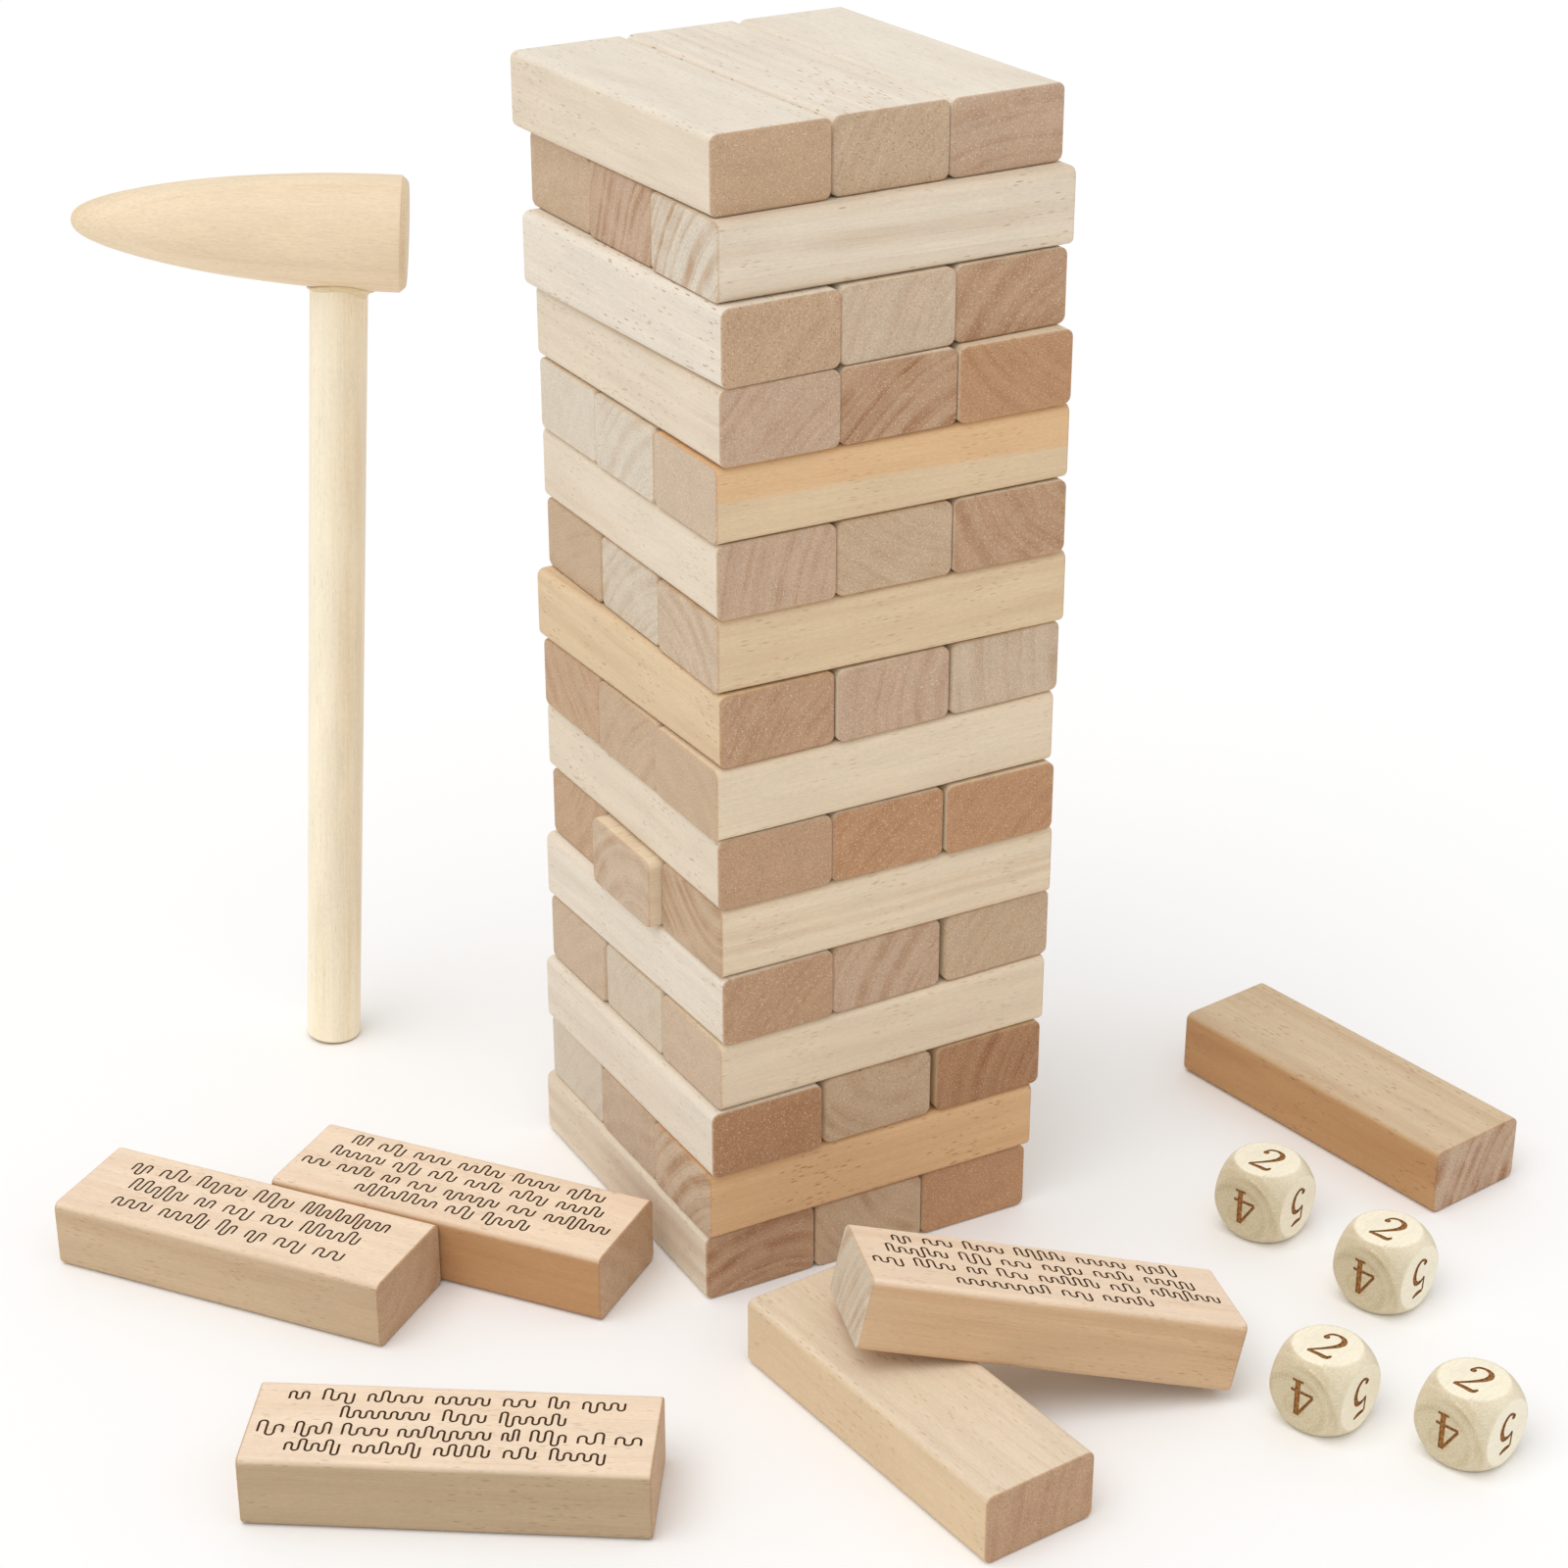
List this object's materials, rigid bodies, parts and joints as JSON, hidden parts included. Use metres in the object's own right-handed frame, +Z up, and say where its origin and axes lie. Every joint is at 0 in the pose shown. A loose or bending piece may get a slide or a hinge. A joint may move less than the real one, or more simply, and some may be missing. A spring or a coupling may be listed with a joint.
{
  "type": "giant tumbling tower",
  "caption": "Wooden tumbling tower of crossed block levels, with drawn blocks lying around it, rounded numbered dice and a bullet-nosed mallet standing on its handle.",
  "frame": {"origin": "on the ground under the middle of the tower, on the underside of its lowest middle block", "axes": "+Z up through the tower; +X to the right along the odd levels' short side, +Y to the back along the lowest blocks; the drawn blocks lie to the front and sides"},
  "size_m": [0.5589, 0.5605, 0.4717],
  "materials": {
    "block_wood": "sanded, unfinished",
    "dice_wood": "sanded, unfinished, with burnt numerals",
    "mallet_head_wood": "turned and sanded",
    "mallet_handle_wood": "sanded dowel"
  },
  "bodies": {
    "base_level": {"level_01_left": "block_wood", "level_01_middle": "block_wood", "level_01_right": "block_wood"},
    "level_02_back": {"level_02_back": "block_wood"},
    "level_02_middle": {"level_02_middle": "block_wood"},
    "level_02_front": {"level_02_front": "block_wood"},
    "level_03_left": {"level_03_left": "block_wood"},
    "level_03_middle": {"level_03_middle": "block_wood"},
    "level_03_right": {"level_03_right": "block_wood"},
    "level_04_back": {"level_04_back": "block_wood"},
    "level_04_middle": {"level_04_middle": "block_wood"},
    "level_04_front": {"level_04_front": "block_wood"},
    "level_05_left": {"level_05_left": "block_wood"},
    "level_05_middle": {"level_05_middle": "block_wood"},
    "level_05_right": {"level_05_right": "block_wood"},
    "level_06_back": {"level_06_back": "block_wood"},
    "level_06_middle": {"level_06_middle": "block_wood"},
    "level_06_front": {"level_06_front": "block_wood"},
    "level_07_left": {"level_07_left": "block_wood"},
    "level_07_middle": {"level_07_middle": "block_wood"},
    "level_07_right": {"level_07_right": "block_wood"},
    "level_08_back": {"level_08_back": "block_wood"},
    "level_08_middle": {"level_08_middle": "block_wood"},
    "level_08_front": {"level_08_front": "block_wood"},
    "level_09_left": {"level_09_left": "block_wood"},
    "level_09_middle": {"level_09_middle": "block_wood"},
    "level_09_right": {"level_09_right": "block_wood"},
    "level_10_back": {"level_10_back": "block_wood"},
    "level_10_middle": {"level_10_middle": "block_wood"},
    "level_10_front": {"level_10_front": "block_wood"},
    "level_11_left": {"level_11_left": "block_wood"},
    "level_11_middle": {"level_11_middle": "block_wood"},
    "level_11_right": {"level_11_right": "block_wood"},
    "level_12_back": {"level_12_back": "block_wood"},
    "level_12_middle": {"level_12_middle": "block_wood"},
    "level_12_front": {"level_12_front": "block_wood"},
    "level_13_left": {"level_13_left": "block_wood"},
    "level_13_middle": {"level_13_middle": "block_wood"},
    "level_13_right": {"level_13_right": "block_wood"},
    "level_14_left": {"level_14_left": "block_wood"},
    "level_14_middle": {"level_14_middle": "block_wood"},
    "level_14_right": {"level_14_right": "block_wood"},
    "level_15_back": {"level_15_back": "block_wood"},
    "level_15_middle": {"level_15_middle": "block_wood"},
    "level_15_front": {"level_15_front": "block_wood"},
    "level_16_left": {"level_16_left": "block_wood"},
    "level_16_middle": {"level_16_middle": "block_wood"},
    "level_16_right": {"level_16_right": "block_wood"},
    "loose_block_front_left": {"loose_block_front_left": "block_wood"},
    "loose_block_back_left": {"loose_block_back_left": "block_wood"},
    "loose_block_near": {"loose_block_near": "block_wood"},
    "loose_block_prop": {"loose_block_prop": "block_wood"},
    "loose_block_right": {"loose_block_right": "block_wood"},
    "loose_block_leaning": {"loose_block_leaning": "block_wood"},
    "die_1": {"die_1": "dice_wood"},
    "die_2": {"die_2": "dice_wood"},
    "die_3": {"die_3": "dice_wood"},
    "die_4": {"die_4": "dice_wood"},
    "mallet": {"mallet_head": "mallet_head_wood", "mallet_handle": "mallet_handle_wood"}
  },
  "joints": [
    {"name": "level_02_back_slide", "type": "slide", "parent": "base_level", "child": "level_02_back", "axis": [0.9999, -0.0157, 0], "range_m": [-0.155, 0.155]},
    {"name": "level_02_middle_slide", "type": "slide", "parent": "base_level", "child": "level_02_middle", "axis": [0.9999, -0.0157, 0], "range_m": [-0.155, 0.155]},
    {"name": "level_02_front_slide", "type": "slide", "parent": "base_level", "child": "level_02_front", "axis": [0.9999, -0.0157, 0], "range_m": [-0.155, 0.155]},
    {"name": "level_03_left_slide", "type": "slide", "parent": "base_level", "child": "level_03_left", "axis": [0.0052, 1, 0], "range_m": [-0.05, 0.155]},
    {"name": "level_03_middle_slide", "type": "slide", "parent": "base_level", "child": "level_03_middle", "axis": [0.0052, 1, 0], "range_m": [-0.1, 0.155]},
    {"name": "level_03_right_slide", "type": "slide", "parent": "base_level", "child": "level_03_right", "axis": [0.0052, 1, 0], "range_m": [-0.155, 0.155]},
    {"name": "level_04_back_slide", "type": "slide", "parent": "base_level", "child": "level_04_back", "axis": [1, -0.0017, 0], "range_m": [-0.155, 0.155]},
    {"name": "level_04_middle_slide", "type": "slide", "parent": "base_level", "child": "level_04_middle", "axis": [1, -0.0017, 0], "range_m": [-0.155, 0.155]},
    {"name": "level_04_front_slide", "type": "slide", "parent": "base_level", "child": "level_04_front", "axis": [1, -0.0017, 0], "range_m": [-0.155, 0.155]},
    {"name": "level_05_left_slide", "type": "slide", "parent": "base_level", "child": "level_05_left", "axis": [-0.0157, 0.9999, 0], "range_m": [-0.155, 0.155]},
    {"name": "level_05_middle_slide", "type": "slide", "parent": "base_level", "child": "level_05_middle", "axis": [-0.0157, 0.9999, 0], "range_m": [-0.155, 0.155]},
    {"name": "level_05_right_slide", "type": "slide", "parent": "base_level", "child": "level_05_right", "axis": [-0.0157, 0.9999, 0], "range_m": [-0.155, 0.155]},
    {"name": "level_06_back_slide", "type": "slide", "parent": "base_level", "child": "level_06_back", "axis": [1, -0.0035, 0], "range_m": [-0.155, 0.155]},
    {"name": "level_06_middle_slide", "type": "slide", "parent": "base_level", "child": "level_06_middle", "axis": [1, -0.0035, 0], "range_m": [-0.155, 0.155]},
    {"name": "level_06_front_slide", "type": "slide", "parent": "base_level", "child": "level_06_front", "axis": [1, -0.0035, 0], "range_m": [-0.155, 0.155]},
    {"name": "level_07_left_slide", "type": "slide", "parent": "base_level", "child": "level_07_left", "axis": [0.0105, 0.9999, 0], "range_m": [-0.155, 0.155]},
    {"name": "level_07_middle_slide", "type": "slide", "parent": "base_level", "child": "level_07_middle", "axis": [0.0105, 0.9999, 0], "range_m": [-0.155, 0.155]},
    {"name": "level_07_right_slide", "type": "slide", "parent": "base_level", "child": "level_07_right", "axis": [0.0105, 0.9999, 0], "range_m": [-0.155, 0.155]},
    {"name": "level_08_back_slide", "type": "slide", "parent": "base_level", "child": "level_08_back", "axis": [1, 0.0017, 0], "range_m": [-0.155, 0.155]},
    {"name": "level_08_middle_slide", "type": "slide", "parent": "base_level", "child": "level_08_middle", "axis": [1, 0.0017, 0], "range_m": [-0.155, 0.155]},
    {"name": "level_08_front_slide", "type": "slide", "parent": "base_level", "child": "level_08_front", "axis": [1, 0.0017, 0], "range_m": [-0.155, 0.155]},
    {"name": "level_09_left_slide", "type": "slide", "parent": "base_level", "child": "level_09_left", "axis": [-0.0157, 0.9999, 0], "range_m": [-0.155, 0.155]},
    {"name": "level_09_middle_slide", "type": "slide", "parent": "base_level", "child": "level_09_middle", "axis": [-0.0157, 0.9999, 0], "range_m": [-0.155, 0.155]},
    {"name": "level_09_right_slide", "type": "slide", "parent": "base_level", "child": "level_09_right", "axis": [-0.0157, 0.9999, 0], "range_m": [-0.155, 0.155]},
    {"name": "level_10_back_slide", "type": "slide", "parent": "base_level", "child": "level_10_back", "axis": [0.9997, -0.0227, 0], "range_m": [-0.155, 0.155]},
    {"name": "level_10_middle_slide", "type": "slide", "parent": "base_level", "child": "level_10_middle", "axis": [0.9997, -0.0227, 0], "range_m": [-0.155, 0.155]},
    {"name": "level_10_front_slide", "type": "slide", "parent": "base_level", "child": "level_10_front", "axis": [0.9997, -0.0227, 0], "range_m": [-0.155, 0.155]},
    {"name": "level_11_left_slide", "type": "slide", "parent": "base_level", "child": "level_11_left", "axis": [0.0192, 0.9998, 0], "range_m": [-0.155, 0.155]},
    {"name": "level_11_middle_slide", "type": "slide", "parent": "base_level", "child": "level_11_middle", "axis": [0.0192, 0.9998, 0], "range_m": [-0.155, 0.155]},
    {"name": "level_11_right_slide", "type": "slide", "parent": "base_level", "child": "level_11_right", "axis": [0.0192, 0.9998, 0], "range_m": [-0.155, 0.155]},
    {"name": "level_12_back_slide", "type": "slide", "parent": "base_level", "child": "level_12_back", "axis": [0.9999, -0.0122, 0], "range_m": [-0.155, 0.155]},
    {"name": "level_12_middle_slide", "type": "slide", "parent": "base_level", "child": "level_12_middle", "axis": [0.9999, -0.0122, 0], "range_m": [-0.155, 0.155]},
    {"name": "level_12_front_slide", "type": "slide", "parent": "base_level", "child": "level_12_front", "axis": [0.9999, -0.0122, 0], "range_m": [-0.155, 0.155]},
    {"name": "level_13_left_slide", "type": "slide", "parent": "base_level", "child": "level_13_left", "axis": [0.0035, 1, 0], "range_m": [-0.155, 0.075]},
    {"name": "level_13_middle_slide", "type": "slide", "parent": "base_level", "child": "level_13_middle", "axis": [0.0035, 1, 0], "range_m": [-0.155, 0.155]},
    {"name": "level_13_right_slide", "type": "slide", "parent": "base_level", "child": "level_13_right", "axis": [0.0035, 1, 0], "range_m": [-0.155, 0.155]},
    {"name": "level_14_left_slide", "type": "slide", "parent": "base_level", "child": "level_14_left", "axis": [-0.0349, 0.9994, 0], "range_m": [-0.155, 0.075]},
    {"name": "level_14_middle_slide", "type": "slide", "parent": "base_level", "child": "level_14_middle", "axis": [-0.0349, 0.9994, 0], "range_m": [-0.155, 0.155]},
    {"name": "level_14_right_slide", "type": "slide", "parent": "base_level", "child": "level_14_right", "axis": [-0.0349, 0.9994, 0], "range_m": [-0.155, 0.155]},
    {"name": "level_15_back_slide", "type": "slide", "parent": "base_level", "child": "level_15_back", "axis": [0.9999, 0.0105, 0], "range_m": [-0.155, 0.155]},
    {"name": "level_15_middle_slide", "type": "slide", "parent": "base_level", "child": "level_15_middle", "axis": [0.9999, 0.0105, 0], "range_m": [-0.155, 0.155]},
    {"name": "level_15_front_slide", "type": "slide", "parent": "base_level", "child": "level_15_front", "axis": [0.9999, 0.0105, 0], "range_m": [-0.155, 0.155]},
    {"name": "level_16_left_slide", "type": "slide", "parent": "base_level", "child": "level_16_left", "axis": [-0.0314, 0.9995, 0], "range_m": [-0.155, 0.155]},
    {"name": "level_16_middle_slide", "type": "slide", "parent": "base_level", "child": "level_16_middle", "axis": [-0.0314, 0.9995, 0], "range_m": [-0.155, 0.155]},
    {"name": "level_16_right_slide", "type": "slide", "parent": "base_level", "child": "level_16_right", "axis": [-0.0314, 0.9995, 0], "range_m": [-0.155, 0.155]},
    {"name": "loose_block_front_left_lift", "type": "slide", "parent": "base_level", "child": "loose_block_front_left", "axis": [0, 0, 1], "range_m": [0, 0.1]},
    {"name": "loose_block_back_left_lift", "type": "slide", "parent": "base_level", "child": "loose_block_back_left", "axis": [0, 0, 1], "range_m": [0, 0.1]},
    {"name": "loose_block_near_lift", "type": "slide", "parent": "base_level", "child": "loose_block_near", "axis": [0, 0, 1], "range_m": [0, 0.1]},
    {"name": "loose_block_prop_slide", "type": "slide", "parent": "base_level", "child": "loose_block_prop", "axis": [0.0941, -0.9956, 0], "range_m": [0, 0.04]},
    {"name": "loose_block_right_lift", "type": "slide", "parent": "base_level", "child": "loose_block_right", "axis": [0, 0, -1], "range_m": [-0.1, 0]},
    {"name": "loose_block_leaning_lift", "type": "slide", "parent": "base_level", "child": "loose_block_leaning", "axis": [0, 0, 1], "range_m": [0, 0.1]},
    {"name": "die_1_tip", "type": "hinge", "parent": "base_level", "child": "die_1", "pos_m": [0.16304, -0.13053, 0], "axis": [-0.342, 0.9397, 0], "range_deg": [0, 90]},
    {"name": "die_2_tip", "type": "hinge", "parent": "base_level", "child": "die_2", "pos_m": [0.17392, -0.19606, 0], "axis": [-0.309, 0.9511, 0], "range_deg": [0, 90]},
    {"name": "die_3_tip", "type": "hinge", "parent": "base_level", "child": "die_3", "pos_m": [0.07287, -0.25761, 0], "axis": [0.3256, -0.9455, 0], "range_deg": [0, 90]},
    {"name": "die_4_tip", "type": "hinge", "parent": "base_level", "child": "die_4", "pos_m": [0.13734, -0.29146, 0], "axis": [-0.284, 0.9588, 0], "range_deg": [0, 90]},
    {"name": "mallet_lift", "type": "slide", "parent": "base_level", "child": "mallet", "axis": [0, 0, 1], "range_m": [0, 0.15]}
  ]
}
